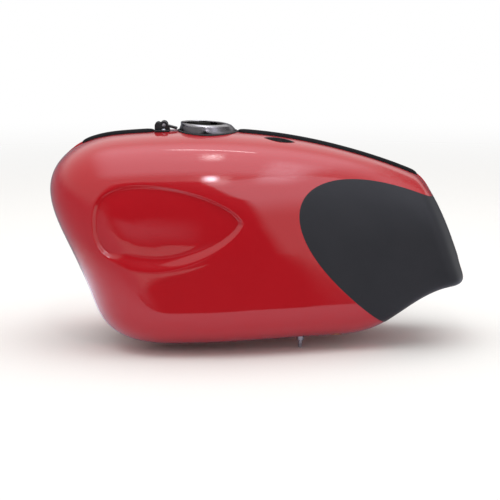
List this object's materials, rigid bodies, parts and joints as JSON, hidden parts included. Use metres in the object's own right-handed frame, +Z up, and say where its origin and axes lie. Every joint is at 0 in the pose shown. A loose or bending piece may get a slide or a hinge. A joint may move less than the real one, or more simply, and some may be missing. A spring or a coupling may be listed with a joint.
{
  "type": "motorcycle fuel tank",
  "caption": "Saddle fuel tank with teardrop recesses in its flanks, a flared open filler, a cap hinge, a seam moulding and a frame tunnel beneath.",
  "frame": {"origin": "middle of the lower face of the bounding box, where the tank stands on a bench", "axes": "+X towards the front of the motorcycle, +Y to the rider's left, +Z up"},
  "size_m": [0.6021, 0.296, 0.3205],
  "materials": {
    "red_paint": "gloss red stoving enamel",
    "black_moulding": "satin black extrusion",
    "collar_metal": "satin plated steel",
    "neck_steel": "phosphated inside",
    "black_rubber": "matte",
    "black_metal": "black coated casting",
    "zinc_steel": "zinc plated",
    "brass": "turned"
  },
  "bodies": {
    "tank": {"left_shell": "red_paint", "right_shell": "red_paint", "tunnel": "red_paint", "top_seam": "red_paint", "strip_front": "black_moulding", "strip_rear": "black_moulding", "filler_collar": "collar_metal", "filler_neck": "neck_steel", "collar_gasket": "black_rubber", "hinge_bracket": "black_metal", "hinge_pin": "zinc_steel", "hinge_screws": "zinc_steel", "front_cup_left": "red_paint", "front_cup_right": "red_paint", "rear_bracket": "red_paint", "rear_grommet": "black_rubber", "rear_sleeve": "zinc_steel", "outlet_left": "brass", "outlet_right": "brass", "vent_pipe": "zinc_steel", "baffle_left": "neck_steel", "baffle_right": "neck_steel", "pocket_left": "red_paint", "pocket_right": "red_paint"},
    "cap_leaf": {"hinge_leaf": "black_metal"}
  },
  "joints": [
    {"name": "cap_hinge", "type": "hinge", "parent": "tank", "child": "cap_leaf", "pos_m": [0.13628, 0, 0.31473], "axis": [0, 1, 0], "range_deg": [0, 120]}
  ]
}
